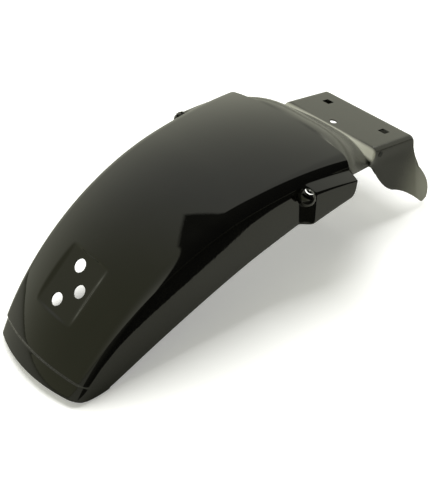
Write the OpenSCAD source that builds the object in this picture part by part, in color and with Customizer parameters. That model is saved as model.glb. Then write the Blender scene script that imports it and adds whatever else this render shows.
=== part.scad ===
// Motorcycle mudguard in pressed steel, one piece, all sizes in millimetres.
// X runs from the tail edge to the saddle, Y across and Z up. It lies on its tail corners and on
// the tips of its two side wings, as a loose spare part does on a floor.

/* [Sheet] */
// Thickness of the sheet
sheet_t = 1.5; // [1:0.1:2]
// Radius of the turned edge along the skirts
edge_r = 3; // [2.5:0.1:4]

/* [Crown line] */
// Radius of the crown along its middle, from the tail to its top
crown_r = 306; // [290:1:330]
// Radius of the flatter front part of the crown
front_r = 624; // [500:10:750]
// Slope of the crown at the tail edge
tail_slope = 59.5; // [57:0.5:62]
// Slope where the two radii meet
top_slope = 5.2; // [3:0.1:8]
// Height of the middle of the tail edge over the floor
tail_h = 10; // [6:0.5:14]
// Slope of the crown where its wide part ends, downwards
front_slope = 6.3; // [4:0.1:9]
// Slope of the neck, downwards
neck_slope = 47; // [42:0.5:50]
// Radius of the crest between the crown and the neck
crest_r = 61.5; // [50:0.5:75]
// Straight length of the neck below the crest
neck_len = 44.5; // [38:0.5:52]

/* [Cross section] */
// Half width of the body at the tail
tail_half_w = 72.6; // [68:0.2:78]
// Half width of the body at its front end, without the side flares
front_half_w = 100.2; // [94:0.2:104]
// Drop of the crown from its middle to its shoulders, at the tail
tail_drop = 9.3; // [7:0.1:12]
// Drop of the crown from its middle to its shoulders, at the front
front_drop = 7.2; // [5:0.1:9]
// Radius of the shoulders at the tail
shoulder_r = 14.8; // [13:0.2:18]
// Radius of the shoulders at the front
front_shoulder_r = 18.6; // [16:0.2:22]
// Lean of the skirts out of upright
skirt_lean = 3; // [0:0.5:6]
// Depth of the skirts under the crown at the tail
skirt_tail = 37.6; // [34:0.2:42]
// Depth of the skirts at a third of the length
skirt_rear = 75.9; // [70:0.1:80]
// Depth of the skirts at two thirds of the length
skirt_fore = 73; // [68:0.5:78]
// Depth of the skirts at the front
skirt_front = 44.6; // [40:0.2:50]
// Length of the rounded tail corners of the skirts
corner_len = 27; // [22:0.5:32]
// How far the tail edge draws back from its middle to its corners
tail_bow = 6; // [3:0.5:9]

/* [Tail lip] */
// Width of the stepped band along the tail edge
lip_w = 20.5; // [17:0.5:24]
// Depth of the step
lip_d = 2.2; // [1.5:0.1:3]

/* [Lamp pad] */
// Distance of the pad's middle from the tail edge, along the crown
pad_s = 101.6; // [95:0.2:108]
// Length of the pad
pad_len = 68.4; // [62:0.2:75]
// Half width of the pad
pad_half_w = 27.8; // [25:0.2:31]
// Depth of the flat pad under the crown at its middle
pad_d = 3.6; // [3:0.1:4.5]
// Length of the sloped rim round the pad
pad_rim = 4; // [3:0.5:5]

/* [Lamp holes] */
// Diameter of the two lamp bolt holes
lamp_hole = 14.6; // [13:0.1:16]
// Distance between the two lamp bolt holes, along the pad
lamp_pitch = 40; // [37:0.5:44]
// Offset of the lamp bolt holes from the middle, to the far side
lamp_bolt_y = 6; // [3:0.5:8]
// Diameter of the wire hole
wire_hole = 14.2; // [12:0.1:15]
// Offset of the wire hole from the middle, to the near side
wire_y = 13; // [11:0.5:15]

/* [Side flares] */
// Distance of the flares' rear ends from the tail edge, along the crown
flare_s = 342; // [334:1:350]
// How far the flares stand out of the skirts at their rear ends
flare_rear = 10.6; // [8:0.2:12]
// How far the flares stand out of the skirts at the front
flare_out = 12.6; // [10:0.2:14]
// Depth of the flares' ledges under the crown, at their rear ends
ledge_rear = 15.4; // [14:0.2:17]
// Depth of the flares' ledges under the crown, at the front
ledge_front = 21.4; // [19:0.2:23]
// Fall of the ledges to their outer edges
ledge_fall = 6.5; // [5:0.5:8]
// Radius of the round boss at the rear corner of each flare
boss_r = 9.8; // [8:0.2:11]
// Distance of the bosses' middles from the tail edge, along X
boss_x = 292.6; // [290:0.2:296]
// Distance of each boss's middle from the middle of the part
boss_y = 97.4; // [95:0.2:99]
// Depth of the bosses' middles under the crown
boss_d = 28; // [26:0.5:30]

/* [Saddle] */
// Depth of the neck's edges under its middle, at the body
neck_drop = 24.5; // [22:0.5:26]
// Depth of the neck's edges under its middle, at the saddle
riser_drop = 9; // [7:0.5:11]
// Half width of the neck at the saddle
riser_half_w = 75; // [73:0.5:78]
// Half width of the saddle plate
plate_half_w = 71; // [67:0.5:74]
// Length of the saddle plate
plate_len = 79; // [72:1:86]
// Fall of the saddle plate towards its front edge
plate_slope = 10.1; // [6:0.1:14]
// Height of the saddle plate over the foot of its riser
riser_h = 9; // [7:0.5:11]
// Bend radius of the plate into its wings and front lip
bend_r = 6; // [5:0.5:7]
// Depth of the lip along the front edge
front_lip = 8; // [7:0.5:12]
// Side of the two square saddle holes
square_hole = 10.5; // [8:0.5:12]
// Distance of the square holes from the plate's rear edge
square_s = 50.5; // [45:0.5:56]
// Distance of each square hole from the middle
square_y = 44.5; // [40:0.5:48]
// Diameter of the single hole by the plate's rear edge
clip_hole = 9.5; // [8:0.5:11]
// Distance of that hole from the plate's rear edge
clip_s = 13; // [11:0.5:16]
// Offset of that hole from the middle, to the far side
clip_y = 3; // [0:0.5:6]
// Diameter of the small hole high in the rear of each wing
wing_hole = 6; // [5:0.5:7]
// How far the wing tips stand out of the plate's sides
wing_flare = 21; // [16:0.5:25]

/* [Hidden] */

// Columns of a half section: on the shoulder's bend, on down to the ledge, across the ledge
BEND_COLS = 3;
WING_COLS = 5;
LEDGE_COLS = 4;
// Depths of the columns under the ledge, then the share of what is left
SIDE_STEPS = [5, 10, 15];
// Length of the soft step from the body down to the neck
STEP_LEN = 2.5;
// Power of the neck's arch across
NECK_POW = 3.4;
// Length over which the flares grow out of the skirts, and radius of their front corners
FLARE_RAMP = 12;
FRONT_CORNER = 5;
// Length behind the tail edge over which its bow fades
BOW_LEN = 60;
// Share of the wing's edge that runs down behind, before it turns forward
WING_TURN = 0.36;

// Crown line as arcs and straights: length and turn of each, from the tail to the riser
line = [
    [crown_r * (tail_slope - top_slope) * PI / 180, tail_slope - top_slope],
    [front_r * (top_slope + front_slope) * PI / 180, top_slope + front_slope],
    [crest_r * (neck_slope - front_slope) * PI / 180, neck_slope - front_slope],
    [neck_len, 0]
];
body_len = line[0][0] + line[1][0];
neck_end = body_len + line[2][0] + line[3][0];

function lerp(a, b, k) = a + (b - a) * k;
function clamp(k) = min(max(k, 0), 1);
function ease(k) = clamp(k) * clamp(k) * (3 - 2 * clamp(k));
function unit(v) = v / norm(v);
function bezier(p, k) = pow(1 - k, 3) * p[0] + 3 * k * pow(1 - k, 2) * p[1]
    + 3 * k * k * (1 - k) * p[2] + pow(k, 3) * p[3];
function steps(a, b, n) = [for (k = [1 : n]) lerp(a, b, k / n)];

// Point and heading at a distance along the line, as [x, z, heading]
function moved(p, len, turn) = let (h = p[2], r = turn == 0 ? 0 : len * 180 / PI / turn)
    turn == 0 ? [p[0] + len * cos(h), p[1] + len * sin(h), h]
    : [p[0] + r * (sin(h) - sin(h - turn)), p[1] + r * (cos(h - turn) - cos(h)), h - turn];
function walk(p, s, i = 0) = let (seg = line[i])
    s <= seg[0] || i == len(line) - 1 ? moved(p, s, seg[1] * s / seg[0])
    : walk(moved(p, seg[0], seg[1]), s - seg[0], i + 1);
function at_s(s) = walk([0, tail_h, tail_slope], s);
function crown_at(s) = let (p = at_s(s)) [p[0], 0, p[1]];
function heading(s) = at_s(s)[2];
function inward(h) = [sin(h), 0, -cos(h)];
function along(h) = [cos(h), 0, sin(h)];

// Sizes that change along the body
function share(s) = clamp(s / body_len);
function half_w(s) = lerp(tail_half_w, front_half_w, share(s));
function round_r(s) = lerp(shoulder_r, front_shoulder_r, share(s));
function drop(s) = lerp(tail_drop, front_drop, share(s));
function thirds(v, k) = let (m = 3 * k)
    v[0] * (1 - m) * (2 - m) * (3 - m) / 6 + v[1] * m * (2 - m) * (3 - m) / 2
    - v[2] * m * (1 - m) * (3 - m) / 2 + v[3] * m * (1 - m) * (2 - m) / 6;
function skirt_depth(s) = thirds([skirt_tail, skirt_rear, skirt_fore, skirt_front], share(s));
function round_off(k) = sqrt(max(1 - pow(1 - clamp(k), 2), 0));
function on_flare(s) = clamp((s - flare_s) / (body_len - flare_s));
function ledge_d(s) = lerp(ledge_rear, ledge_front, on_flare(s));
function flare(s) = lerp(flare_rear, flare_out, on_flare(s)) * ease((s - flare_s) / FLARE_RAMP);
function lip(s) = lip_d * (1 - ease((s - lip_w) / 4));
function bow(s, y) = tail_bow * pow(min(abs(y) / 75, 1), 2) * pow(max(1 - s / BOW_LEN, 0), 2);

// Flat lamp pad pressed into the crown
function pad_depth(s) = let (a = (s - pad_s) / crown_r * 180 / PI)
    (pad_d - crown_r * (1 - cos(a))) / cos(a);
function pad_mask(s, y) =
    (1 - ease((abs(s - pad_s) - pad_len / 2 + pad_rim / 2) / pad_rim))
    * (1 - ease((abs(y) - pad_half_w + pad_rim / 2) / pad_rim));

// Half section of the body as [across, depth] pairs, from the middle to the free edge
pad_edge = [pad_half_w - pad_rim / 2, pad_half_w + pad_rim / 2];
function crown_ys(yc) = concat([0, pad_edge[0] / 2, pad_edge[0], pad_edge[1]], steps(pad_edge[1], yc, 3));
function body_half(s) = let (
        r = round_r(s), yc = half_w(s) - r, dc = drop(s), a0 = atan(2 * dc / yc), a1 = 90 - skirt_lean,
        at_a = function (a) [yc + r * (sin(a) - sin(a0)), dc + r * (cos(a0) - cos(a))],
        last = at_a(a1),
        at_d = function (d) d < last[1] ? at_a(acos(cos(a0) - (d - dc) / r))[0]
            : last[0] + (d - last[1]) * tan(skirt_lean),
        tail_de = lerp(last[1] - 2, skirt_depth(s), round_off(s / corner_len)),
        de = lerp(ledge_d(s) + ledge_fall + 7, tail_de, round_off((body_len - s) / FRONT_CORNER)),
        da = min(ledge_d(s), lerp(dc, de, 0.5)), db = min(ledge_d(s) + ledge_fall, lerp(da, de, 0.5)),
        aa = acos(cos(a0) - (da - dc) / r), out = flare(s), fit = clamp((de - db) / 22),
        sides = concat([for (k = SIDE_STEPS) db + k * fit], [de])
    ) concat(
        [for (y = crown_ys(yc)) [y, lerp(dc * pow(y / yc, 2), pad_depth(s), pad_mask(s, y)) + lip(s)]],
        [for (a = steps(a0, aa, BEND_COLS + WING_COLS)) at_a(a) + [0, lip(s)]],
        [for (k = steps(0, 1, LEDGE_COLS)) let (d = lerp(da, db, k)) [at_d(d) + out * ease(k), d + lip(s)]],
        [for (d = sides) [at_d(d) + out, d + lip(s)]],
        [for (a = [50, 105]) [at_d(de) + out - edge_r * (1 - cos(a)), de + edge_r * sin(a) + lip(s)]]
    );

// Round boss pressed out of each flare's rear corner
boss_mid = [boss_x, boss_y, crown_at(flare_s + 7)[2] - boss_d];
boss_axis = [0, 0.8, 0.6];
function pressed(p) = let (
        d = p - boss_mid, h = d * boss_axis, side = norm(d - h * boss_axis)
    ) side < boss_r && abs(h) < 2 * boss_r ? p + max(sqrt(boss_r * boss_r - side * side) - h, 0) * boss_axis : p;

// Saddle line from the riser to the front lip, as [x, z]
riser_foot = crown_at(neck_end);
riser_top = [riser_foot[0], riser_foot[2]] + [4, riser_h];
plate_rear = riser_top;
plate_dir = [cos(plate_slope), -sin(plate_slope)];
plate_down = [-sin(plate_slope), -cos(plate_slope)];
plate_front = plate_rear + plate_len * plate_dir;
bend_mid = plate_front - bend_r * plate_dir + bend_r * plate_down;
riser_line = let (foot = [riser_foot[0], riser_foot[2]]) [
    foot, foot + 2.2 * [cos(neck_slope), -sin(neck_slope)],
    plate_rear - 1.8 * plate_dir, plate_rear + 1.5 * plate_dir
];
RISER_ROWS = 4;
saddle_line = concat(
    [for (k = steps(0, 1, RISER_ROWS)) bezier(riser_line, k)],
    [for (k = steps(1.5, plate_len - bend_r, 6)) plate_rear + k * plate_dir],
    [for (a = [30, 60, 90]) bend_mid + bend_r * (sin(a) * plate_dir - cos(a) * plate_down)],
    [plate_front + front_lip * plate_down]
);

// Edge of the wing in side view: down behind, forward to the tip, then up the rounded nose
wing_tip = [plate_front[0] + 18.5, 0];
wing_rear = [[riser_foot[0] + 2, 96], [riser_foot[0] + 11, 78], [riser_foot[0] + 23, 56], [wing_tip[0] - 61, 48]];
wing_low = [wing_rear[3], wing_tip + [-43, 41], wing_tip + [-23, 24], wing_tip];
wing_nose = [[plate_front[0] - 1, 93], wing_tip + [-13, 72], wing_tip + [28, 28], wing_tip + [8, 7]];
function wing_edge(w) =
    w < WING_TURN ? bezier(wing_rear, w / WING_TURN)
    : bezier(wing_low, (w - WING_TURN) / (1 - WING_TURN))
        + pow(max((w - 0.9) / 0.1, 0), 2) * (wing_nose[3] - wing_low[3]);
function wing_y(p) = plate_half_w + 1 + (wing_flare - 1) * pow(max((96 - p[1]) / 96, 0), 1.2)
    - 0.3 * max(p[0] - plate_front[0] - 1, 0);

// Every station as a list of points in space: of the body, of the neck and of the saddle
function body_station(s) = let (p = crown_at(s), h = heading(s)) [for (q = body_half(s))
    let (v = p + [0, q[0], 0] + q[1] * inward(h) + bow(s, q[0]) * along(h)) pressed(v)];
front_half = body_half(body_len);
crown_cols = len(crown_ys(50));
link_cols = crown_cols + BEND_COLS + WING_COLS;
across_share = [for (j = [0 : link_cols - 1]) front_half[j][0] / front_half[link_cols - 1][0]];
function neck_station(k) = let (
        s = lerp(body_len + STEP_LEN, neck_end, k), p = crown_at(s), n = inward(heading(s)),
        w = lerp(front_half[link_cols - 1][0] - 1, riser_half_w, k), d = lerp(neck_drop, riser_drop, k)
    ) [for (f = across_share) p + [0, w * f, 0] + d * pow(f, NECK_POW) * n];
function saddle_station(i) = let (
        c = saddle_line[i], w = (i + 1) / len(saddle_line), up = ease((i + 1) / (RISER_ROWS + 1)),
        half = lerp(riser_half_w, plate_half_w, up), d = riser_drop * (1 - up), ys = crown_ys(half - bend_r),
        flat = [for (j = [0 : crown_cols - 1]) let (y = lerp(across_share[j] * half, ys[j], up))
            [c[0], y, c[1] - d * pow(y / half, NECK_POW)]],
        last = flat[crown_cols - 1], r = half - last[1], rz = lerp(min(r, 6), bend_r, up),
        top = last + [0, r * sin(86), -rz * (1 - cos(86))], edge = wing_edge(w),
        bulge = [for (m = [1, 2]) (wing_nose[m] - lerp(wing_nose[0], wing_nose[3], m / 3)) * pow(w, 3)],
        t2 = [top[0], top[2]],
        curve = [t2, lerp(t2, edge, 1 / 3) + bulge[0], lerp(t2, edge, 2 / 3) + bulge[1], edge]
    ) concat(
        flat,
        [for (a = steps(0, 86, BEND_COLS)) last + [0, r * sin(a), -rz * (1 - cos(a))]],
        [for (v = steps(0, 1, WING_COLS)) let (q = bezier(curve, v))
            [q[0], lerp(top[1], wing_y(q), min(1, 3 * v)), q[1]]]
    );

// Distances of the body's stations from the tail edge
pad_a = pad_s - pad_len / 2;
pad_b = pad_s + pad_len / 2;
body_ss = concat(
    [0, 2.5, 6, 12], [lip_w, lip_w + 2, lip_w + 4], [lerp(lip_w + 4, pad_a, 0.5)],
    [pad_a - pad_rim / 2, pad_a, pad_a + pad_rim / 2], [pad_s - pad_len / 6, pad_s + pad_len / 6],
    [pad_b - pad_rim / 2, pad_b, pad_b + pad_rim / 2],
    steps(pad_b + pad_rim / 2, flare_s - 4, 9),
    steps(flare_s - 4, flare_s + 20, 8),
    steps(flare_s + 20, body_len - FRONT_CORNER, 3),
    [for (a = [35, 65, 90]) body_len - FRONT_CORNER * (1 - sin(a))]
);
NECK_ROWS = 8;

function mirrored(half) = concat(
    [for (j = [len(half) - 1 : -1 : 1]) [half[j][0], -half[j][1], half[j][2]]],
    half
);
body_rows = [for (s = body_ss) mirrored(body_station(s))];
saddle_rows = concat(
    [for (k = [0 : NECK_ROWS]) mirrored(neck_station(k / NECK_ROWS))],
    [for (i = [0 : len(saddle_line) - 1]) mirrored(saddle_station(i))]
);

// Grid of the sheet: the wide body's rows, then the narrower neck's and saddle's rows
body_n = len(body_rows);
all_n = body_n + len(saddle_rows);
col_n = len(body_rows[0]);
side_n = (col_n - len(saddle_rows[0])) / 2;
function point(i, j) = i < body_n ? body_rows[i][j] : saddle_rows[i - body_n][j - side_n];
function has_point(i, j) = i >= 0 && j >= 0 && i < all_n && j < col_n
    && (i < body_n || (j >= side_n && j < col_n - side_n));
function has_cell(i, j) = has_point(i, j) && has_point(i + 1, j) && has_point(i, j + 1) && has_point(i + 1, j + 1);
function index(i, j) = i < body_n ? i * col_n + j
    : body_n * col_n + (i - body_n) * (col_n - 2 * side_n) + j - side_n;
places = [for (i = [0 : all_n - 1], j = [0 : col_n - 1]) if (has_point(i, j)) [i, j]];
function normal(i, j) = let (
        a = point(has_point(i + 1, j) ? i + 1 : i, j) - point(has_point(i - 1, j) ? i - 1 : i, j),
        b = point(i, has_point(i, j + 1) ? j + 1 : j) - point(i, has_point(i, j - 1) ? j - 1 : j)
    ) unit(cross(a, b));
points = concat(
    [for (q = places) point(q[0], q[1])],
    [for (q = places) point(q[0], q[1]) - sheet_t * normal(q[0], q[1])]
);
// Middle of the length and lowest point, which the part's origin is set to
xs = [for (p = points) p[0]];
zs = [for (p = points) p[2]];
origin = [(min(xs) + max(xs)) / 2, 0, min(zs)];

// Closed sheet between the grid and the same grid moved inwards by the thickness
module sheet() {
    o = len(places);
    faces = [for (q = places) let (
            i = q[0], j = q[1], a = index(i, j), b = index(i, j + 1), c = index(i + 1, j + 1), d = index(i + 1, j)
        ) if (has_cell(i, j)) each concat(
            [[a, b, c], [a, c, d], [o + a, o + c, o + b], [o + a, o + d, o + c]],
            has_cell(i, j - 1) ? [] : [[a, d, o + d, o + a]],
            has_cell(i, j + 1) ? [] : [[c, b, o + b, o + c]],
            has_cell(i - 1, j) ? [] : [[b, a, o + a, o + b]],
            has_cell(i + 1, j) ? [] : [[d, c, o + c, o + d]]
        )];
    polyhedron(points, faces, convexity = 8);
}

// Holes, each cut square to the sheet it goes through
function pad_frame() = [crown_at(pad_s) + pad_d * inward(heading(pad_s)), heading(pad_s)];
module on_pad(u, y) {
    f = pad_frame();
    translate(f[0]) rotate([0, -f[1], 0]) translate([u, y, 0]) children();
}
module on_plate(u, y) {
    translate([plate_rear[0], 0, plate_rear[1]]) rotate([0, plate_slope, 0]) translate([u, y, 0]) children();
}
module drill(d) { cylinder(h = 12, d = d, center = true, $fn = 48); }
module lamp_holes() {
    for (u = [-1, 1] * lamp_pitch / 2) on_pad(u, lamp_bolt_y) drill(lamp_hole);
    on_pad(0, -wire_y) drill(wire_hole);
}
module saddle_holes() {
    for (y = [-1, 1] * square_y) on_plate(square_s, y) cube([square_hole, square_hole, 12], center = true);
    on_plate(clip_s, clip_y) drill(clip_hole);
    for (y = [-1, 1] * plate_half_w) on_plate(13, y) translate([0, 0, -9]) rotate([90, 0, 0]) drill(wing_hole);
}

module fender() {
    color([0.06, 0.06, 0.06]) translate(-origin) difference() {
        sheet();
        lamp_holes();
        saddle_holes();
    }
}

fender();
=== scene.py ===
"""Rear mudguard of a motorcycle in gloss black paint, on a white table in a plain photo studio."""

import logging
from dataclasses import dataclass
from enum import Enum
from math import acos, atan, cos, degrees, pi, radians, sin, sqrt, tan
from typing import Sequence

import bmesh
import bpy
import numpy as np
from mathutils import Matrix, Vector


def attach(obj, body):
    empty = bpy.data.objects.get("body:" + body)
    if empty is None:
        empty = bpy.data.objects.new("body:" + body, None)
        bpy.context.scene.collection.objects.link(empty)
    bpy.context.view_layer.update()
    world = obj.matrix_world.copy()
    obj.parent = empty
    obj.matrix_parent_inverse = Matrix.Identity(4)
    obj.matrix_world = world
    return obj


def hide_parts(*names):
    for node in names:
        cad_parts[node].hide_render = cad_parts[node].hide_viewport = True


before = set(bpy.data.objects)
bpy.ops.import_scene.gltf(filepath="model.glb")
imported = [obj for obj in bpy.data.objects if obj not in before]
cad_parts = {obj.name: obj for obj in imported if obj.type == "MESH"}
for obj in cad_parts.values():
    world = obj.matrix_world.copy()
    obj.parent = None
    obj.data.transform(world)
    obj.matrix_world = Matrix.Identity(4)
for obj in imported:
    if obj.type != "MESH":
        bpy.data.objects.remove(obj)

logging.basicConfig(level=logging.INFO, format="%(message)s")
log = logging.getLogger("mudguard")
MM = 0.001
PHOTO_W, PHOTO_H = 435, 495
SENSOR_W = 36.0
AIM = (0.0, 0.0, 0.06)
Colour = tuple[float, float, float]
Place = tuple[float, float, float]


@dataclass(frozen=True)
class SheetSizes:
    """Sizes of the pressed sheet in millimetres and degrees, seen from the tail's foot."""

    sheet_t: float = 1.5
    edge_r: float = 3.0
    crown_r: float = 306.0
    front_r: float = 624.0
    tail_slope: float = 59.5
    top_slope: float = 5.2
    tail_h: float = 10.0
    front_slope: float = 6.3
    neck_slope: float = 47.0
    crest_r: float = 61.5
    neck_len: float = 44.5
    neck_fall: float = 36.0
    tail_half_w: float = 72.6
    front_half_w: float = 100.2
    tail_drop: float = 9.3
    front_drop: float = 7.2
    shoulder_r: float = 14.8
    front_shoulder_r: float = 18.6
    skirt_lean: float = 3.0
    skirt_depths: tuple[float, ...] = (37.6, 75.9, 73.0, 44.6)
    corner_len: float = 27.0
    front_corner: float = 5.0
    tail_bow: float = 6.0
    bow_len: float = 60.0
    lip_w: float = 20.5
    lip_d: float = 2.2
    pad_s: float = 101.6
    pad_len: float = 68.4
    pad_half_w: float = 27.8
    pad_d: float = 3.6
    pad_rim: float = 4.0
    flare_s: float = 342.0
    flare_ramp: float = 13.0
    flare_rear: float = 10.6
    flare_out: float = 12.6
    ledge_rear: float = 15.4
    ledge_front: float = 21.4
    ledge_fall: float = 6.5
    step_len: float = 2.5
    neck_pow: float = 3.4
    neck_edge: tuple[Place, Place] = ((364.5, 98.5, 129.5), (423.5, 75.0, 100.4))
    riser_h: float = 9.0
    riser_run: float = 4.0
    plate_half_w: float = 71.0
    plate_len: float = 79.0
    plate_slope: float = 10.1
    plate_fillet: float = 3.0
    plate_overlap: float = 2.0
    bend_r: float = 6.0
    bend_turn: float = 86.0
    hem_turn: float = 105.0
    front_lip: float = 22.0
    origin_x: float = 272.534
    origin_z: float = -1.714


@dataclass(frozen=True)
class WingSizes:
    """Outline and flare of a side wing in millimetres: X and Z from the foot or from the tip."""

    reach: float = 20.5
    rear: tuple[tuple[float, float], ...] = ((2, 96), (11, 78), (23, 56))
    heel: tuple[float, float] = (-63, 48)
    low: tuple[tuple[float, float], ...] = ((-45, 41), (-24, 24))
    nose_top: tuple[float, float] = (-1, 93)
    nose: tuple[tuple[float, float], ...] = ((-15, 72), (28, 30), (6, 6))
    heel_at: float = 0.36
    point_at: float = 0.95
    top: float = 96.0
    flare: float = 21.0
    flare_pow: float = 1.2
    curl: float = 0.2
    crease: float = 0.12
    crease_from: float = 62.0
    crease_over: float = 26.0


@dataclass(frozen=True)
class BossSizes:
    """The round boss on a flare: middle and radius in millimetres, its axis, cut and flats.

    Each flat is its middle across and up, its depth and half its width, in shares of the radius.
    """

    mid: Place = (292.6, 97.4, 134.0)
    radius: float = 9.8
    axis: Place = (0.0, 0.8, 0.6)
    foot: float = -0.45
    flats: tuple[tuple[float, float, float, float], ...] = (
        (0.20, 0.50, 0.74, 0.20), (0.05, 0.02, 0.82, 0.16))
    flat_half_len: float = 0.6
    flat_lean: float = 28.0


@dataclass(frozen=True)
class HoleSizes:
    """Where the holes are, in millimetres along and across the pad or the plate, and their widths."""

    lamp: tuple[Place, ...] = ((19.5, 5.5, 14.6), (-20.7, 5.5, 14.2), (-0.5, -13.0, 14.1))
    square_at: tuple[float, float] = (51.0, 44.5)
    square_w: float = 10.5
    square_corner: float = 0.9
    clip_at: tuple[float, float] = (13.0, 3.0)
    clip_w: float = 9.5
    wing_at: tuple[float, float] = (13.0, -9.0)
    wing_w: float = 6.0
    plug_r: float = 3.3
    plug_t: float = 2.0
    plug_sunk: float = 0.4


@dataclass(frozen=True)
class GridDensity:
    """How many columns and rows the smooth shell's grid has in each stretch."""

    crown: tuple[int, int, int] = (12, 4, 14)
    bend: int = 8
    wing: int = 12
    ledge: int = 14
    side: int = 14
    edge: int = 6
    neck: int = 40
    riser: int = 12
    plate: int = 24
    lip_bend: int = 8
    lip: int = 7


def lerp(a: float, b: float, k: float) -> float:
    """Mix two values by a share from 0 to 1."""
    return a + (b - a) * k


def clamp(k: float) -> float:
    """Keep a share between 0 and 1."""
    return min(max(k, 0.0), 1.0)


def ease(k: float) -> float:
    """Smooth step from 0 to 1."""
    k = clamp(k)
    return k * k * (3.0 - 2.0 * k)


def ramp(k: float, soft: float = 0.2) -> float:
    """Straight ramp from 0 to 1 with both its ends rounded.

    Args:
        k: Share of the way across.
        soft: Share of the way that each rounded end takes.

    Returns:
        The height of the ramp there.
    """
    k = clamp(k)
    if k < soft:
        rise = k * k / (2.0 * soft)
    elif k > 1.0 - soft:
        rise = 1.0 - soft - (1.0 - k) ** 2 / (2.0 * soft)
    else:
        rise = k - soft / 2.0
    return rise / (1.0 - soft)


def round_off(k: float) -> float:
    """Quarter circle from 0 to 1, for rounded corners."""
    return sqrt(max(1.0 - (1.0 - clamp(k)) ** 2, 0.0))


def bezier(points: Sequence, k: float) -> np.ndarray:
    """Point on a cubic curve.

    Args:
        points: Its four control points.
        k: Share of the way along.

    Returns:
        The point as an array.
    """
    p = np.asarray(points, float)
    return (1 - k) ** 3 * p[0] + 3 * k * (1 - k) ** 2 * p[1] + 3 * k * k * (1 - k) * p[2] + k**3 * p[3]


def steps(a: float, b: float, n: int) -> list[float]:
    """The n values that follow a in equal steps up to b."""
    return [lerp(a, b, k / n) for k in range(1, n + 1)]


class CrownLine:
    """The crown's line along its middle: arcs and a straight, from the tail to the riser."""

    def __init__(self, sizes: SheetSizes) -> None:
        """Lay the line out from its radii and slopes."""
        z = sizes
        self.start = (0.0, z.tail_h, z.tail_slope)
        arcs = (
            (z.crown_r, z.tail_slope - z.top_slope),
            (z.front_r, z.top_slope + z.front_slope),
            (z.crest_r, z.neck_slope - z.front_slope),
        )
        self.runs = [(r * radians(turn), turn) for r, turn in arcs] + [(z.neck_len, 0.0)]
        self.body_len = self.runs[0][0] + self.runs[1][0]
        self.end = self.body_len + self.runs[2][0] + self.runs[3][0]

    def at(self, s: float) -> tuple[float, float, float]:
        """Place and heading on the line.

        Args:
            s: Distance from the tail edge along the line.

        Returns:
            X, Z and the heading in degrees.
        """
        x, z, h = self.start
        for i, (length, turn) in enumerate(self.runs):
            run = s if i == len(self.runs) - 1 else min(s, length)
            if turn:
                r, t = length / radians(turn), radians(turn * run / length)
                a = radians(h)
                x += r * (sin(a) - sin(a - t))
                z += r * (cos(a - t) - cos(a))
                h -= degrees(t)
            else:
                x += run * cos(radians(h))
                z += run * sin(radians(h))
            s -= run
            if s <= 1e-9:
                break
        return x, z, h

    def frame(self, s: float) -> tuple[np.ndarray, np.ndarray, np.ndarray]:
        """Point on the line with its inward and forward directions."""
        x, z, h = self.at(s)
        a = radians(h)
        return np.array([x, 0, z]), np.array([sin(a), 0, -cos(a)]), np.array([cos(a), 0, sin(a)])


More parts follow.
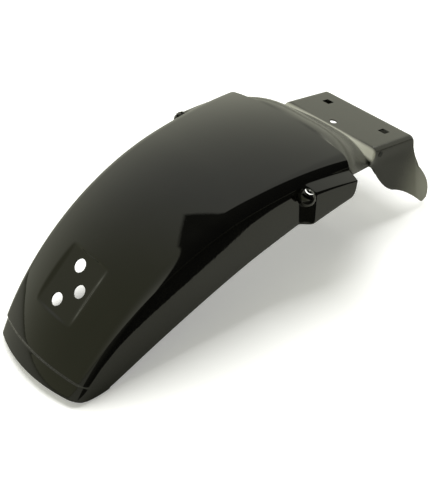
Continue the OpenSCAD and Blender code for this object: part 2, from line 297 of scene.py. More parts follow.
class SheetSurface:
    """The outer face of the pressed sheet as rows of points across it."""

    def __init__(self, sizes: SheetSizes, wing: WingSizes, density: GridDensity) -> None:
        """Prepare the crown line and what the neck and saddle hang on."""
        self.z = sizes
        self.wing = wing
        self.d = density
        self.line = CrownLine(sizes)
        slope = radians(sizes.plate_slope)
        x, z, _ = self.line.at(self.line.end)
        self.foot = np.array([x, z])
        self.plate_dir = np.array([cos(slope), -sin(slope)])
        self.plate_down = np.array([-sin(slope), -cos(slope)])
        self.plate_rear = self.foot + np.array([sizes.riser_run, sizes.riser_h])
        self.plate_front = self.plate_rear + sizes.plate_len * self.plate_dir
        tip = np.array([self.plate_front[0] + wing.reach, 0.0])
        heel = tip + wing.heel
        self.wing_rear = [(x + self.foot[0], z) for x, z in wing.rear] + [heel]
        self.wing_low = [heel] + [tip + spot for spot in wing.low] + [tip]
        nose_top = (self.plate_front[0] + wing.nose_top[0], wing.nose_top[1])
        self.wing_nose = [nose_top] + [tip + spot for spot in wing.nose]
        front = self.body_half(self.line.body_len)
        self.link = sum(density.crown) + 1 + density.bend + density.wing
        self.link_w = front[self.link - 1][0]
        self.shares = [y / self.link_w for y, _ in front[: self.link]]

    def crown_ys(self, last: float) -> list[float]:
        """Where the crown's columns stand across, dense at the pad's rim.

        Args:
            last: Half width of the crown, where its shoulder begins.

        Returns:
            The columns' distances from the middle.
        """
        a, b = self.z.pad_half_w - self.z.pad_rim / 2, self.z.pad_half_w + self.z.pad_rim / 2
        n0, n1, n2 = self.d.crown
        return [0.0] + steps(0, a, n0) + steps(a, b, n1) + steps(b, last, n2)

    def skirt_depth(self, k: float) -> float:
        """Depth of the skirt's edge under the crown at a share of the body's length."""
        m, v = 3 * k, self.z.skirt_depths
        return (v[0] * (1 - m) * (2 - m) * (3 - m) / 6 + v[1] * m * (2 - m) * (3 - m) / 2
                - v[2] * m * (1 - m) * (3 - m) / 2 + v[3] * m * (1 - m) * (2 - m) / 6)

    def pad_blend(self, s: float, y: float) -> tuple[float, float]:
        """How far a point belongs to the flat lamp pad, and the pad's depth there."""
        z = self.z
        a = (s - z.pad_s) / z.crown_r
        flat = (z.pad_d - z.crown_r * (1 - cos(a))) / cos(a)
        lengthways = 1 - ease((abs(s - z.pad_s) - z.pad_len / 2 + z.pad_rim / 2) / z.pad_rim)
        across = 1 - ease((abs(y) - z.pad_half_w + z.pad_rim / 2) / z.pad_rim)
        return lengthways * across, flat

    def body_half(self, s: float) -> list[tuple[float, float]]:
        """Half a cross section of the body.

        Args:
            s: Distance from the tail edge along the crown.

        Returns:
            Distance across and depth of each point, from the middle to the turned edge.
        """
        z, d = self.z, self.d
        k = clamp(s / self.line.body_len)
        r = lerp(z.shoulder_r, z.front_shoulder_r, k)
        yc = lerp(z.tail_half_w, z.front_half_w, k) - r
        dc = lerp(z.tail_drop, z.front_drop, k)
        a0, a1 = atan(2 * dc / yc), radians(90 - z.skirt_lean)
        lip = z.lip_d * (1 - ease((s - z.lip_w) / 4))

        def at_a(a: float) -> tuple[float, float]:
            """Point of the shoulder's arc at an angle."""
            return yc + r * (sin(a) - sin(a0)), dc + r * (cos(a0) - cos(a))

        last = at_a(a1)

        def at_d(depth: float) -> float:
            """Distance across of the side at a depth."""
            if depth < last[1]:
                return at_a(acos(cos(a0) - (depth - dc) / r))[0]
            return last[0] + (depth - last[1]) * tan(radians(z.skirt_lean))

        on_flare = clamp((s - z.flare_s) / (self.line.body_len - z.flare_s))
        ledge = lerp(z.ledge_rear, z.ledge_front, on_flare)
        out = lerp(z.flare_rear, z.flare_out, on_flare) * ease((s - z.flare_s) / z.flare_ramp)
        edge = lerp(last[1] - 2, self.skirt_depth(k), round_off(s / z.corner_len))
        edge = lerp(ledge + z.ledge_fall + 7, edge, round_off((self.line.body_len - s) / z.front_corner))
        da = min(ledge, lerp(dc, edge, 0.5))
        db = min(ledge + z.ledge_fall, lerp(da, edge, 0.5))
        half = []
        for y in self.crown_ys(yc):
            blend, flat = self.pad_blend(s, y)
            half.append((y, lerp(dc * (y / yc) ** 2, flat, blend) + lip))
        for a in steps(a0, acos(cos(a0) - (da - dc) / r), d.bend + d.wing):
            half.append((at_a(a)[0], at_a(a)[1] + lip))
        for m in steps(0, 1, d.ledge):
            depth = lerp(da, db, m)
            half.append((at_d(depth) + out * ramp(m), depth + lip))
        for depth in steps(db, edge, d.side):
            half.append((at_d(depth) + out, depth + lip))
        y, depth = half[-1]
        for a in steps(0, radians(z.hem_turn), d.edge):
            half.append((y - z.edge_r * (1 - cos(a)), depth + z.edge_r * sin(a)))
        return half

    def body_row(self, s: float) -> np.ndarray:
        """One row of points across half of the body, in space."""
        p, inward, forward = self.line.frame(s)
        fade = max(1 - s / self.z.bow_len, 0) ** 2
        row = []
        for y, depth in self.body_half(s):
            bow = self.z.tail_bow * min(abs(y) / 75, 1) ** 2 * fade
            row.append(p + np.array([0, y, 0]) + depth * inward + bow * forward)
        return np.array(row)

    def neck_line(self, k: float) -> np.ndarray:
        """Middle line of the neck: on over the crest, then straight to the plate's rear edge.

        Args:
            k: Share of the neck's length.

        Returns:
            The point in space.
        """
        z = self.z
        arc = z.crest_r * radians(z.neck_fall - z.front_slope)
        x, h, _ = self.line.at(self.line.body_len + arc)
        rest = float(np.hypot(self.plate_rear[0] - x, self.plate_rear[1] - h))
        s = lerp(z.step_len, arc + rest, k)
        if s < arc:
            x, h, _ = self.line.at(self.line.body_len + s)
            return np.array([x, 0, h])
        m = (s - arc) / rest
        return np.array([lerp(x, self.plate_rear[0], m), 0, lerp(h, self.plate_rear[1], m)])

    def neck_row(self, k: float) -> np.ndarray:
        """One row of points across half of the neck, at a share of its length."""
        p = self.neck_line(k)
        edge = lerp(np.array(self.z.neck_edge[0]), np.array(self.z.neck_edge[1]), k)
        reach = (edge - p) * (1, 0, 1)
        return np.array([p + np.array([0, edge[1] * f, 0]) + reach * f**self.z.neck_pow for f in self.shares])

    def saddle_line(self) -> list[np.ndarray]:
        """Middle line of the saddle, from the plate's rear edge to the foot of the apron."""
        z, pd, dn = self.z, self.plate_dir, self.plate_down
        fall = radians(z.neck_fall)
        foot = self.plate_rear + z.plate_fillet * pd
        into = self.plate_rear - z.plate_overlap * np.array([cos(fall), -sin(fall)])
        curve = [into, self.plate_rear, self.plate_rear, foot]
        mid = self.plate_front - z.bend_r * pd + z.bend_r * dn
        line = [bezier(curve, k) for k in steps(0.35, 1, self.d.riser)]
        flat_len = z.plate_len - z.bend_r
        line += [self.plate_rear + k * pd for k in steps(z.plate_fillet, flat_len, self.d.plate)]
        line += [mid + z.bend_r * (sin(a) * pd - cos(a) * dn) for a in steps(0, pi / 2, self.d.lip_bend)]
        return line + [self.plate_front + k * dn for k in steps(z.bend_r, z.front_lip, self.d.lip)]

    def wing_edge(self, w: float) -> np.ndarray:
        """Lower edge of the wing in side view, at a share of its way from the neck to the tip."""
        heel, point = self.wing.heel_at, self.wing.point_at
        if w < heel:
            return bezier(self.wing_rear, w / heel)
        end = max((w - point) / (1 - point), 0) * (np.array(self.wing_nose[3]) - np.array(self.wing_low[3]))
        return bezier(self.wing_low, (w - heel) / (1 - heel)) + end

    def wing_y(self, x: float, z: float) -> float:
        """How far the wing stands out from the middle at a place in side view."""
        g = self.wing
        fall = max((g.top - z) / g.top, 0) ** g.flare_pow
        turn = g.curl + g.crease * ease((z - g.crease_from) / g.crease_over)
        curl = turn * max(x - self.plate_front[0] - 1, 0)
        return self.z.plate_half_w + 1 + (g.flare - 1) * fall - curl

    def saddle_row(self, c: np.ndarray, w: float, up: float) -> np.ndarray:
        """One row of points across half of the saddle plate and down its wing.

        Args:
            c: Middle point of the row as X and Z.
            w: Share of the way from the riser to the front lip.
            up: Share of the way up the riser.

        Returns:
            The row's points in space.
        """
        z, d = self.z, self.d
        neck_end = np.array(z.neck_edge[1])
        back, fall = (neck_end[[0, 2]] - self.plate_rear) * (1 - up)
        half = lerp(neck_end[1], z.plate_half_w, up)
        ys = [lerp(f * half, y, up) for f, y in zip(self.shares, self.crown_ys(half - z.bend_r))]
        bows = [(y / half) ** z.neck_pow for y in ys]
        row = [(c[0] + back * bow, y, c[1] + fall * bow) for y, bow in zip(ys, bows)]
        last = row[-1]
        ry = half - last[1]
        rz = lerp(c[1] + fall - last[2], -z.bend_r, up)
        rx = c[0] + back - last[0]
        for a in steps(0, radians(z.bend_turn), d.bend):
            m = 1 - cos(a)
            row.append((last[0] + rx * m, last[1] + ry * sin(a), last[2] + rz * m))
        top, edge, nose = row[-1], self.wing_edge(w), np.array(self.wing_nose)
        start = np.array([top[0], top[2]])
        bulge = [(nose[m] - lerp(nose[0], nose[3], m / 3)) * w**3 for m in (1, 2)]
        curve = [start, lerp(start, edge, 1 / 3) + bulge[0], lerp(start, edge, 2 / 3) + bulge[1], edge]
        for v in steps(0, 1, d.wing):
            x, h = bezier(curve, v)
            row.append((x, lerp(top[1], self.wing_y(x, h), min(1.0, 3 * v)), h))
        return np.array(row)

    def stations(self) -> list[float]:
        """Distances of the body's rows from the tail edge, dense where the form turns."""
        z, end = self.z, self.line.body_len
        pad = [z.pad_s - z.pad_len / 2, z.pad_s + z.pad_len / 2]
        marks = [
            (0.0, 14.0, 9), (14.0, z.lip_w - 0.5, 3), (z.lip_w - 0.5, z.lip_w + 4.5, 7),
            (z.lip_w + 4.5, pad[0] - 2.5, 14), (pad[0] - 2.5, pad[0] + 2.5, 6),
            (pad[0] + 2.5, pad[1] - 2.5, 18), (pad[1] - 2.5, pad[1] + 2.5, 6),
            (pad[1] + 2.5, z.flare_s - 12, 54), (z.flare_s - 12, z.flare_s + 20, 26),
            (z.flare_s + 20, end - z.front_corner, 16),
        ]
        rows = [0.0]
        for a, b, n in marks:
            rows += steps(a, b, n)
        return rows + [end - z.front_corner * (1 - sin(a)) for a in steps(0, pi / 2, 6)]

    def rows(self) -> tuple[list[np.ndarray], list[np.ndarray]]:
        """All rows: the body's wide ones, then the neck's and saddle's narrower ones."""
        body = [self.body_row(s) for s in self.stations()]
        tail = [self.neck_row(k / self.d.neck) for k in range(self.d.neck + 1)]
        line = self.saddle_line()
        for i, c in enumerate(line):
            tail.append(self.saddle_row(c, (i + 1) / len(line), ease((i + 1) / (self.d.riser + 1))))
        return body, tail

    def grid(self) -> tuple[np.ndarray, int]:
        """The whole face as one grid of points, both halves, with gaps as not-a-number.

        Returns:
            An array of rows by columns by three in millimetres, and how many rows are body.
        """
        body, tail = self.rows()
        n = len(body[0])
        full = np.full((len(body) + len(tail), 2 * n - 1, 3), np.nan)
        for i, row in enumerate(body + tail):
            m = len(row)
            full[i, n - 1 : n - 1 + m] = row
            full[i, n - m : n - 1] = (row[1:] * (1, -1, 1))[::-1]
        return full, len(body)


class HoleKind(Enum):
    """Shapes of hole that the press and the drill leave."""

    ROUND = "round"
    SQUARE = "square"


@dataclass(frozen=True)
class Hole:
    """One hole: its kind, middle, width and the direction it is cut in, in millimetres."""

    kind: HoleKind
    at: Place
    width: float
    axis: Place
    depth: float = 14.0


@dataclass(frozen=True)
class PaintedHighlight:
    """A soft-edged painted highlight: a patch of the sheet where the paint is made paler to stand in for
    light it catches; its middle, half sizes and tone.
    """

    mid: Place
    half: Place
    tone: Colour
    soft: float = 0.5

    def add_to(self, tree: bpy.types.NodeTree, coords: object, below: object) -> object:
        """Lay the painted highlight over a colour.

        Args:
            tree: The material's nodes.
            coords: Socket of the Object coordinates.
            below: Socket of the colour under the painted highlight.

        Returns:
            Socket of the mixed colour.
        """
        add, link = tree.nodes.new, tree.links.new
        centred = add("ShaderNodeMapping")
        centred.vector_type = "TEXTURE"
        centred.inputs["Location"].default_value = self.mid
        centred.inputs["Scale"].default_value = self.half
        link(coords, centred.inputs["Vector"])
        far = add("ShaderNodeVectorMath")
        far.operation = "LENGTH"
        link(centred.outputs["Vector"], far.inputs[0])
        fade = add("ShaderNodeMapRange")
        fade.interpolation_type = "SMOOTHSTEP"
        fade.inputs["From Min"].default_value = 1.0
        fade.inputs["From Max"].default_value = 1.0 - self.soft
        link(far.outputs["Value"], fade.inputs["Value"])
        over = add("ShaderNodeMix")
        over.data_type = "RGBA"
        over.inputs["B"].default_value = (*self.tone, 1)
        link(fade.outputs["Result"], over.inputs["Factor"])
        link(below, over.inputs["A"])
        return over.outputs["Result"]


@dataclass(frozen=True)
class Paint:
    """A black paint finish, how it varies over the sheet, and the painted highlights laid on it."""

    name: str
    base: Colour
    haze: Colour
    rough: tuple[float, float]
    ior: float
    peel: float
    peel_scale: float = 420.0
    cloud_scale: float = 38.0
    cloud_span: tuple[float, float] = (0.35, 0.7)
    peel_depth: float = 0.0006
    painted_highlights: tuple[PaintedHighlight, ...] = ()

    def build(self) -> bpy.types.Material:
        """Make the finish as a material.

        Returns:
            The material, with colour, roughness and bump from its nodes.
        """
        mat = bpy.data.materials.new(self.name)
        mat.use_nodes = True
        tree = mat.node_tree
        add, link = tree.nodes.new, tree.links.new
        shader = tree.nodes["Principled BSDF"]
        shader.inputs["IOR"].default_value = self.ior
        coords = add("ShaderNodeTexCoord")
        clouds, peel = add("ShaderNodeTexNoise"), add("ShaderNodeTexNoise")
        for node, scale, detail in ((clouds, self.cloud_scale, 5.0), (peel, self.peel_scale, 2.0)):
            link(coords.outputs["Object"], node.inputs["Vector"])
            node.inputs["Scale"].default_value = scale
            node.inputs["Detail"].default_value = detail
        tone = add("ShaderNodeMix")
        tone.data_type = "RGBA"
        tone.inputs["A"].default_value = (*self.base, 1)
        tone.inputs["B"].default_value = (*self.haze, 1)
        link(clouds.outputs["Fac"], tone.inputs["Factor"])
        colour = tone.outputs["Result"]
        # Lay each painted highlight over the paint's own colour.
        for highlight in self.painted_highlights:
            colour = highlight.add_to(tree, coords.outputs["Object"], colour)
        link(colour, shader.inputs["Base Color"])
        rough = add("ShaderNodeMapRange")
        rough.inputs["From Min"].default_value, rough.inputs["From Max"].default_value = self.cloud_span
        rough.inputs["To Min"].default_value, rough.inputs["To Max"].default_value = self.rough
        link(clouds.outputs["Fac"], rough.inputs["Value"])
        link(rough.outputs["Result"], shader.inputs["Roughness"])
        bump = add("ShaderNodeBump")
        bump.inputs["Strength"].default_value = self.peel
        bump.inputs["Distance"].default_value = self.peel_depth
        link(peel.outputs["Fac"], bump.inputs["Height"])
        link(bump.outputs["Normal"], shader.inputs["Normal"])
        return mat


# Painted highlight: the riser's band is made paler in the base colour to stand in for the light it catches.
RISER_PAINTED_HIGHLIGHT = PaintedHighlight((0.1585, 0.0, 0.1120), (0.0078, 0.5, 0.0105), (0.36, 0.36, 0.31), 0.6)
# Painted highlight: the front of each wing is made paler to stand in for light falling on it from the front.
WING_PAINTED_HIGHLIGHT = PaintedHighlight((0.266, 0.0, 0.020), (0.080, 0.5, 0.090), (0.26, 0.26, 0.22), 1.0)
GLOSS = Paint("gloss_black_paint", (0.0008, 0.0008, 0.0006), (0.0035, 0.0035, 0.0028),
              rough=(0.012, 0.03), ior=1.5, peel=0.012)
# Satin black paint of the neck and saddle; it carries the painted highlights on the riser and the wing
# fronts.
SATIN_AND_HIGHLIGHTS = Paint("satin_black_paint_and_highlights", (0.004, 0.004, 0.0028), (0.012, 0.012, 0.0085),
              rough=(0.16, 0.24), ior=1.43, peel=0.04, peel_scale=700.0, painted_highlights=(RISER_PAINTED_HIGHLIGHT, WING_PAINTED_HIGHLIGHT))
# Dark finish for the plugs that keep the small wing holes dark.
DARK_PLUG = Paint("dark_plug", (0.004, 0.004, 0.004), (0.006, 0.006, 0.006),
               rough=(0.55, 0.65), ior=1.45, peel=0.02)


def deselect() -> None:
    """Leave nothing selected."""
    if bpy.context.object and bpy.context.object.mode != "OBJECT":
        bpy.ops.object.mode_set(mode="OBJECT")
    bpy.ops.object.select_all(action="DESELECT")


def activate(piece: bpy.types.Object) -> None:
    """Select one object and make it active."""
    deselect()
    piece.select_set(True)
    bpy.context.view_layer.objects.active = piece


def modify(piece: bpy.types.Object, kind: str, **settings: object) -> None:
    """Add a modifier to a piece, set it and apply it.

    Args:
        piece: The object to change.
        kind: Blender's name of the modifier's type.
        settings: Values of the modifier's settings.
    """
    activate(piece)
    modifier = piece.modifiers.new(kind.lower(), kind)
    for key, value in settings.items():
        setattr(modifier, key, value)
    bpy.ops.object.modifier_apply(modifier=modifier.name)


def smooth(piece: bpy.types.Object, angle: float) -> None:
    """Shade a piece smooth, with edges sharper than an angle in degrees left hard."""
    activate(piece)
    bpy.ops.object.shade_smooth_by_angle(angle=radians(angle))


def stand_in(piece: bpy.types.Object) -> None:
    """Let a finished piece ride on the root and stand for the CAD node."""
    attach(piece, "root")
    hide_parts("fender")


class Mudguard:
    """The pressed sheet with its wall, holes and paint, its two bosses and its two plugs."""

    def __init__(self) -> None:
        """Keep the sizes and lay out the face."""
        self.sizes = sizes = SheetSizes()
        self.bosses = BossSizes()
        self.drill = HoleSizes()
        self.face = SheetSurface(sizes, WingSizes(), GridDensity())
        self.origin = np.array([sizes.origin_x, 0.0, sizes.origin_z])
        self.finishes = (GLOSS, SATIN_AND_HIGHLIGHTS)

    def place(self, points: np.ndarray | Sequence[float]) -> np.ndarray:
        """Millimetres in the sheet's own frame as metres in the part's frame."""
        return (np.asarray(points, float) - self.origin) * MM

    def press(self) -> bpy.types.Object:
        """Make the face from a flat grid, row by row.

        Returns:
            The face as an open sheet with its outer side up.
        """
        grid, body = self.face.grid()
        rows, cols, _ = grid.shape
        bpy.ops.mesh.primitive_grid_add(x_subdivisions=cols - 1, y_subdivisions=rows - 1, size=1)
        piece = bpy.context.object
        piece.name = piece.data.name = "mudguard_sheet"
        keep = ~np.isnan(grid[..., 0]).ravel()
        points = np.nan_to_num(self.place(grid.reshape(-1, 3)))
        piece.data.vertices.foreach_set("co", points.astype(np.float32).ravel())
        for finish in self.finishes:
            piece.data.materials.append(finish.build())
        finish_of = np.repeat(np.arange(rows - 1) >= body, cols - 1).astype(np.int32)
        piece.data.polygons.foreach_set("material_index", finish_of)
        piece.data.update()
        mesh = bmesh.new()
        mesh.from_mesh(piece.data)
        mesh.verts.ensure_lookup_table()
        spare = [v for v, used in zip(mesh.verts, keep) if not used]
        bmesh.ops.delete(mesh, geom=spare, context="VERTS")
        mesh.to_mesh(piece.data)
        mesh.free()
        if sum(f.normal.z * f.area for f in piece.data.polygons) < 0:
            activate(piece)
            bpy.ops.object.mode_set(mode="EDIT")
            bpy.ops.mesh.select_all(action="SELECT")
            bpy.ops.mesh.flip_normals()
            bpy.ops.object.mode_set(mode="OBJECT")
        return piece

    def on_plate(self, along: float, across: float, up: float = 0.0) -> np.ndarray:
        """Point at a distance along and across the saddle plate, and straight up from it."""
        (x, z), (dx, dz) = self.face.plate_rear, self.face.plate_dir
        return np.array([x + along * dx, across, z + along * dz + up])

    def holes(self) -> list[Hole]:
        """Where every hole is, from the pad's and the plate's own frames."""
        z, k = self.sizes, self.drill
        p, inward, forward = self.face.line.frame(z.pad_s)
        base, out = p + z.pad_d * inward, tuple(-inward)
        found = []
        for along, across, width in k.lamp:
            spot = base + along * forward + np.array([0, across, 0])
            found.append(Hole(HoleKind.ROUND, tuple(spot), width, out))
        up = tuple(-np.array([self.face.plate_down[0], 0, self.face.plate_down[1]]))
        for side in (-1, 1):
            spot = self.on_plate(k.square_at[0], side * k.square_at[1])
            found.append(Hole(HoleKind.SQUARE, tuple(spot), k.square_w, up))
        found.append(Hole(HoleKind.ROUND, tuple(self.on_plate(*k.clip_at)), k.clip_w, up))
        for side in (-1, 1):
            spot = self.on_plate(k.wing_at[0], side * z.plate_half_w, k.wing_at[1])
            found.append(Hole(HoleKind.ROUND, tuple(spot), k.wing_w, (0, 1, 0)))
        return found

    def cut(self, piece: bpy.types.Object, hole: Hole) -> None:
        """Cut one hole through the sheet."""
        turn = Vector(hole.axis).to_track_quat("Z", "Y").to_euler()
        spot = tuple(self.place(hole.at))
        if hole.kind is HoleKind.SQUARE:
            bpy.ops.mesh.primitive_cube_add(size=1, location=spot, rotation=turn,
                                            scale=(hole.width * MM, hole.width * MM, hole.depth * MM))
        else:
            bpy.ops.mesh.primitive_cylinder_add(vertices=56, radius=hole.width / 2 * MM,
                                                depth=hole.depth * MM, location=spot, rotation=turn)
        cutter = bpy.context.object
        bpy.ops.object.transform_apply(location=True, rotation=True, scale=True)
        if hole.kind is HoleKind.SQUARE:
            modify(cutter, "BEVEL", width=self.drill.square_corner * MM, segments=3, limit_method="ANGLE")
        modify(piece, "BOOLEAN", operation="DIFFERENCE", solver="EXACT", object=cutter)
        bpy.data.objects.remove(cutter, do_unlink=True)

    def plug(self, side: int) -> bpy.types.Object:
        """Dark plug filling the small round hole at the top of a wing, -1 near and 1 far, so the hole shows
        dark.
        """
        k = self.drill
        spot = self.on_plate(k.wing_at[0], side * (self.sizes.plate_half_w - k.plug_sunk), k.wing_at[1])
        bpy.ops.mesh.primitive_cylinder_add(vertices=48, radius=k.plug_r * MM, depth=k.plug_t * MM,
                                            location=tuple(self.place(spot)), rotation=(pi / 2, 0, 0))
        piece = bpy.context.object
        piece.name = piece.data.name = "plug_near" if side < 0 else "plug_far"
        bpy.ops.object.transform_apply(location=True, rotation=True, scale=True)
        piece.data.materials.append(DARK_PLUG.build())
        stand_in(piece)
        return piece

    def boss(self, side: int, seen: Vector, lamp: Vector) -> bpy.types.Object:
        """Round boss on the rear corner of a flare, with two small flats that mirror a lamp.

        Args:
            side: -1 for the near side, 1 for the far side.
            seen: Place from which the flats show the lamp.
            lamp: Place of the lamp.

        Returns:
            The boss, sunk into the sheet under it.
        """
        g = self.bosses
        r = g.radius * MM
        mid = Vector(self.place(np.array(g.mid) * (1, side, 1)))
        axis = Vector((g.axis[0], g.axis[1] * side, g.axis[2]))
        bpy.ops.mesh.primitive_uv_sphere_add(segments=160, ring_count=120, radius=r)
        piece = bpy.context.object
        piece.name = piece.data.name = "boss_near" if side < 0 else "boss_far"
        bpy.ops.object.mode_set(mode="EDIT")
        bpy.ops.mesh.select_all(action="SELECT")
        bpy.ops.mesh.bisect(plane_co=(0, 0, g.foot * r), plane_no=(0, 0, 1), clear_inner=True, use_fill=True)
        bpy.ops.object.mode_set(mode="OBJECT")
        piece.rotation_euler = axis.to_track_quat("Z", "Y").to_euler()
        bpy.ops.object.transform_apply(location=True, rotation=True, scale=True)
        near = Vector((mid.x, -abs(mid.y), mid.z))
        back, lit = (seen - near).normalized(), (lamp - near).normalized()
        right = Vector((0, 0, 1)).cross(back).normalized()
        up = back.cross(right)
        flat = (back + lit).normalized()
        fall = flat.dot(right) / flat.dot(back), flat.dot(up) / flat.dot(back)
        lean = radians(g.flat_lean)
        for vert in piece.data.vertices:
            p = Vector((vert.co.x, -side * vert.co.y, vert.co.z)) / r
            a, b, t = p.dot(right), p.dot(up), p.dot(back)
            for mid_a, mid_b, mid_t, half in g.flats:
                along = (a - mid_a) * cos(lean) - (b - mid_b) * sin(lean)
                across = (a - mid_a) * sin(lean) + (b - mid_b) * cos(lean)
                if abs(along) < g.flat_half_len and abs(across) < half and t > 0:
                    t = min(t, mid_t - fall[0] * (a - mid_a) - fall[1] * (b - mid_b))
            p = (a * right + b * up + t * back) * r
            vert.co = (p.x, -side * p.y, p.z)
        piece.location = mid
        bpy.ops.object.transform_apply(location=True, rotation=True, scale=True)
        piece.data.materials.append(GLOSS.build())
        smooth(piece, 40)
        stand_in(piece)
        return piece

    def build(self) -> bpy.types.Object:
        """Press, wall, drill and smooth the sheet.

        Returns:
            The finished piece, riding on the root and standing for the CAD node.
        """
        piece = self.press()
        modify(piece, "SOLIDIFY", thickness=self.sizes.sheet_t * MM, offset=-1, use_quality_normals=True)
        for hole in self.holes():
            self.cut(piece, hole)
        smooth(piece, 34)
        stand_in(piece)
        return piece


@dataclass(frozen=True)
class Camera:
    """The photograph's camera in millimetres, pixels and degrees; u0 and v0 are its main point."""

    azimuth: float = -42.49
    elevation: float = 40.51
    roll: float = 0.73
    focal: float = 871.43
    u0: float = 24.63
    v0: float = 376.51
    distance: float = 875.33

    def build(self, guard: Mudguard) -> bpy.types.Object:
        """Put the camera at the photograph's viewing angle.

        Args:
            guard: The mudguard, for its frame.

        Returns:
            The camera.
        """
        a, e, r = radians(self.azimuth), radians(self.elevation), radians(self.roll)
        back = np.array([sin(a) * cos(e), -cos(a) * cos(e), sin(e)])
        right = np.array([cos(a), sin(a), 0.0])
        up = np.cross(back, right)
        right, up = cos(r) * right + sin(r) * up, cos(r) * up - sin(r) * right
        aside = (self.u0 - PHOTO_W / 2) / self.focal * self.distance
        below = (self.v0 - PHOTO_H / 2) / self.focal * self.distance
        spot = guard.place(self.distance * back - aside * right + below * up)
        bpy.ops.object.camera_add(location=tuple(spot))
        camera = bpy.context.object
        camera.name = "photo_camera"
        camera.data.sensor_width = SENSOR_W
        camera.data.lens = SENSOR_W * self.focal / PHOTO_H
        turn = Matrix((right, up, back)).transposed().to_4x4()
        turn.translation = Vector(spot)
        camera.matrix_world = turn
        bpy.context.scene.camera = camera
        return camera


@dataclass(frozen=True)
class Lamp:
    """A soft rectangular lamp: where it hangs, its sides, its light and whether gloss shows it."""

    name: str
    azimuth: float
    elevation: float
    distance: float
    sides: tuple[float, float]
    radiance: float
    tint: Colour = (1.0, 1.0, 0.94)
    mirrored: bool = True

    def build(self, aim: Vector) -> None:
        """Hang the lamp and turn it to the point it lights."""
        a, e = radians(self.azimuth), radians(self.elevation)
        spot = aim + self.distance * Vector((cos(a) * cos(e), sin(a) * cos(e), sin(e)))
        bpy.ops.object.light_add(type="AREA", location=spot)
        lamp = bpy.context.object
        lamp.name = self.name
        lamp.data.shape = "RECTANGLE"
        lamp.data.size, lamp.data.size_y = self.sides
        lamp.data.energy = self.radiance * pi * self.sides[0] * self.sides[1]
        lamp.data.color = self.tint
        lamp.visible_glossy = self.mirrored
        lamp.rotation_euler = (aim - spot).to_track_quat("-Z", "Y").to_euler()


def dot_with(tree: bpy.types.NodeTree, direction: object, axis: Sequence[float]) -> object:
    """Socket of how far a direction goes along a fixed axis."""
    dot = tree.nodes.new("ShaderNodeVectorMath")
    dot.operation = "DOT_PRODUCT"
    dot.inputs[1].default_value = tuple(axis)
    tree.links.new(direction, dot.inputs[0])
    return dot.outputs["Value"]


def blend_colours(tree: bpy.types.NodeTree, value: object, span: tuple[float, float],
                  first: object, second: object) -> object:
    """Blend two colours as a value crosses a span.

    Args:
        tree: The nodes to add to.
        value: Socket of the value.
        span: Where the blend starts and ends.
        first: Colour or socket at the start.
        second: Colour or socket at the end.

    Returns:
        Socket of the blended colour.
    """
    fade = tree.nodes.new("ShaderNodeMapRange")
    fade.interpolation_type = "SMOOTHSTEP"
    fade.inputs["From Min"].default_value, fade.inputs["From Max"].default_value = span
    tree.links.new(value, fade.inputs["Value"])
    blend = tree.nodes.new("ShaderNodeMix")
    blend.data_type = "RGBA"
    tree.links.new(fade.outputs["Result"], blend.inputs["Factor"])
    for name, colour in (("A", first), ("B", second)):
        if isinstance(colour, tuple):
            blend.inputs[name].default_value = (*colour, 1)
        else:
            tree.links.new(colour, blend.inputs[name])
    return blend.outputs["Result"]


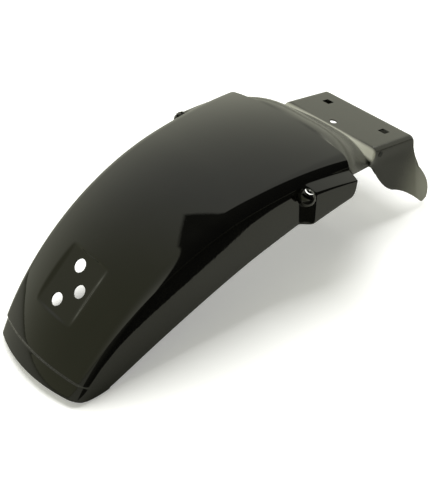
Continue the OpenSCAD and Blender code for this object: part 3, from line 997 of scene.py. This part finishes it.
@dataclass(frozen=True)
class Studio:
    """The table, the white tent round it with its dark open side, and the lamps."""

    tent_low: Colour = (1.15, 1.16, 0.95)
    tent_high: Colour = (0.80, 0.81, 0.72)
    tent_left: Colour = (0.50, 0.51, 0.33)
    high_span: tuple[float, float] = (0.15, 0.9)
    left_axis: Place = (-0.9, 0.0, 0.35)
    left_span: tuple[float, float] = (0.05, 0.95)
    dark: Colour = (0.03, 0.03, 0.03)
    edges: tuple[Place, ...] = ((0.962, -0.114, 0.248), (0.587, -0.757, 0.286), (-0.674, -0.688, 0.268))
    soft: float = 0.012
    table_side: float = 12.0
    table_white: float = 0.9
    table_left: Colour = (0.50, 0.50, 0.44)
    table_right: Colour = (0.52, 0.52, 0.47)
    table_span: tuple[float, float] = (-0.15, 0.25)
    table_lift: Colour = (0.27, 0.27, 0.28)
    card_corner: Place = (143.6, -149.0, 0.0)
    card_along: Place = (0.893, -0.45, 0.0)
    card_away: Place = (-0.45, -0.893, 0.0)
    card_span: tuple[float, float] = (-150.0, 2000.0)
    card_depth: float = 2400.0
    card_lift: float = 0.6
    card_tone: Colour = (0.02, 0.02, 0.02)

    def build_tent(self) -> None:
        """Light the scene from a white tent that is open and dark on the camera's side."""
        world = bpy.data.worlds.new("tent")
        bpy.context.scene.world = world
        world.use_nodes = True
        tree = world.node_tree
        add, link = tree.nodes.new, tree.links.new
        coords = add("ShaderNodeTexCoord")
        inside = None
        for edge in self.edges:
            within = dot_with(tree, coords.outputs["Generated"], edge)
            if inside is None:
                inside = within
                continue
            least = add("ShaderNodeMath")
            least.operation = "MINIMUM"
            link(inside, least.inputs[0])
            link(within, least.inputs[1])
            inside = least.outputs["Value"]
        fade = add("ShaderNodeMapRange")
        fade.inputs["From Min"].default_value = -self.soft
        fade.inputs["From Max"].default_value = self.soft
        link(inside, fade.inputs["Value"])
        tone = add("ShaderNodeMix")
        tone.data_type = "RGBA"
        split = add("ShaderNodeSeparateXYZ")
        link(coords.outputs["Generated"], split.inputs[0])
        walls = blend_colours(tree, split.outputs["Z"], self.high_span, self.tent_low, self.tent_high)
        left = dot_with(tree, coords.outputs["Generated"], self.left_axis)
        walls = blend_colours(tree, left, self.left_span, walls, self.tent_left)
        link(walls, tone.inputs["A"])
        tone.inputs["B"].default_value = (*self.dark, 1)
        link(fade.outputs["Result"], tone.inputs["Factor"])
        seen = add("ShaderNodeLightPath")
        pick = add("ShaderNodeMix")
        pick.data_type = "RGBA"
        pick.inputs["B"].default_value = (1, 1, 1, 1)
        link(seen.outputs["Is Camera Ray"], pick.inputs["Factor"])
        link(tone.outputs["Result"], pick.inputs["A"])
        link(pick.outputs["Result"], tree.nodes["Background"].inputs["Color"])

    def build_table(self) -> None:
        """Lay the white table; the camera sees it lifted to plain white, shadows kept."""
        bpy.ops.mesh.primitive_plane_add(size=self.table_side, location=(0, 0, 0))
        table = bpy.context.object
        table.name = "white_table"
        mat = bpy.data.materials.new("table_white")
        mat.use_nodes = True
        tree = mat.node_tree
        add, link = tree.nodes.new, tree.links.new
        shader = tree.nodes["Principled BSDF"]
        cover = add("ShaderNodeMix")
        cover.data_type = "RGBA"
        split = add("ShaderNodeSeparateXYZ")
        link(add("ShaderNodeTexCoord").outputs["Object"], split.inputs[0])
        grey = blend_colours(tree, split.outputs["X"], self.table_span, self.table_left, self.table_right)
        link(grey, cover.inputs["A"])
        cover.inputs["B"].default_value = (self.table_white,) * 3 + (1,)
        link(cover.outputs["Result"], shader.inputs["Base Color"])
        shader.inputs["Roughness"].default_value = 0.9
        shader.inputs["Specular IOR Level"].default_value = 0.0
        glow = add("ShaderNodeEmission")
        glow.inputs["Color"].default_value = (*self.table_lift, 1)
        seen = add("ShaderNodeLightPath")
        link(seen.outputs["Is Camera Ray"], glow.inputs["Strength"])
        link(seen.outputs["Is Camera Ray"], cover.inputs["Factor"])
        both = add("ShaderNodeAddShader")
        link(shader.outputs["BSDF"], both.inputs[0])
        link(glow.outputs["Emission"], both.inputs[1])
        link(both.outputs["Shader"], tree.nodes["Material Output"].inputs["Surface"])
        table.data.materials.append(mat)

    def build_card(self, guard: Mudguard) -> None:
        """Lay the dark card that the skirt mirrors, out of the camera's sight."""
        along, away = np.array(self.card_along), self.card_depth * np.array(self.card_away)
        rise = np.array([0, 0, guard.sizes.origin_z + self.card_lift])
        near = [np.array(self.card_corner) + reach * along + rise for reach in self.card_span]
        bpy.ops.mesh.primitive_plane_add(size=1)
        card = bpy.context.object
        card.name = "dark_card"
        for vert, corner in zip(card.data.vertices, near + [spot + away for spot in near]):
            vert.co = Vector(guard.place(corner))
        mat = bpy.data.materials.new("dark_card")
        mat.use_nodes = True
        mat.node_tree.nodes["Principled BSDF"].inputs["Base Color"].default_value = (*self.card_tone, 1)
        card.data.materials.append(mat)
        card.visible_camera = card.visible_diffuse = card.visible_shadow = False

    def build(self, guard: Mudguard, lamps: Sequence[Lamp]) -> None:
        """Put up the tent, the table, the card and the lamps."""
        self.build_tent()
        self.build_table()
        self.build_card(guard)
        for lamp in lamps:
            lamp.build(Vector(AIM))


STRIP = Lamp("strip", 12, 32, 1.2, (0.16, 0.06), 22.0)
OVERHEAD = Lamp("overhead", 80, 78, 1.7, (1.1, 1.1), 7.5, tint=(1.0, 1.0, 1.0), mirrored=False)


def main() -> None:
    """Build the mudguard, its camera and its studio, in that order."""
    deselect()
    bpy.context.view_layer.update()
    guard = Mudguard()
    pieces = [guard.build()]
    camera = Camera().build(guard)
    Studio().build(guard, (STRIP, OVERHEAD))
    for side in (-1, 1):
        pieces += [guard.plug(side), guard.boss(side, camera.location, bpy.data.objects[STRIP.name].location)]
    for piece in pieces:
        log.info("%s: %d triangles", piece.name, sum(len(f.vertices) - 2 for f in piece.data.polygons))
    bpy.context.scene.view_settings.view_transform = "Standard"


if __name__ == "__main__":
    main()
